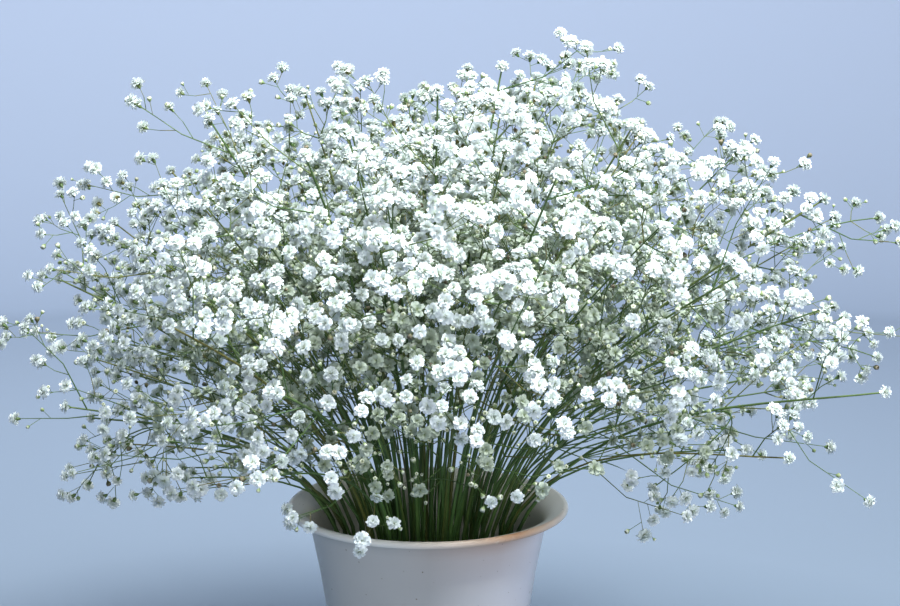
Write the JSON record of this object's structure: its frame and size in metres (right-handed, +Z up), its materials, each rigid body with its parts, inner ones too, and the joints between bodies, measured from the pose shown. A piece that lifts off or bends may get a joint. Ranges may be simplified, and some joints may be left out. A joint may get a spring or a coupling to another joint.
{
  "type": "bucket of gypsophila stems",
  "caption": "Tapered bucket with a flared lip, filled with water and branching gypsophila stems that spread to a wide dome of small double white flowers.",
  "frame": {"origin": "middle of the bucket's underside", "axes": "+Z up along the bucket's axis, -Y towards the flowers' best side, +X to its right"},
  "size_m": [0.6287, 0.5547, 0.5475],
  "materials": {
    "bucket_plastic": "satin",
    "water": "clear",
    "stem_green": "fresh plant stem",
    "petals": "fresh petal",
    "buds": "fresh bud"
  },
  "bodies": {
    "root": {"bucket": "bucket_plastic", "water": "water", "gypsophila_stem_01": "stem_green", "gypsophila_stem_02": "stem_green", "gypsophila_stem_03": "stem_green", "gypsophila_stem_04": "stem_green", "gypsophila_stem_05": "stem_green", "gypsophila_stem_06": "stem_green", "gypsophila_stem_07": "stem_green", "gypsophila_stem_08": "stem_green", "gypsophila_stem_09": "stem_green", "gypsophila_stem_10": "stem_green", "gypsophila_stem_11": "stem_green", "gypsophila_stem_12": "stem_green", "gypsophila_stem_13": "stem_green", "gypsophila_stem_14": "stem_green", "gypsophila_stem_15": "stem_green", "gypsophila_stem_16": "stem_green", "gypsophila_stem_17": "stem_green", "gypsophila_stem_18": "stem_green", "gypsophila_stem_19": "stem_green", "gypsophila_stem_20": "stem_green", "gypsophila_stem_21": "stem_green", "gypsophila_stem_22": "stem_green", "gypsophila_stem_23": "stem_green", "gypsophila_stem_24": "stem_green", "gypsophila_stem_25": "stem_green", "gypsophila_stem_26": "stem_green", "gypsophila_stem_27": "stem_green", "gypsophila_stem_28": "stem_green", "gypsophila_stem_29": "stem_green", "gypsophila_stem_30": "stem_green", "gypsophila_stem_31": "stem_green"}
  },
  "joints": []
}
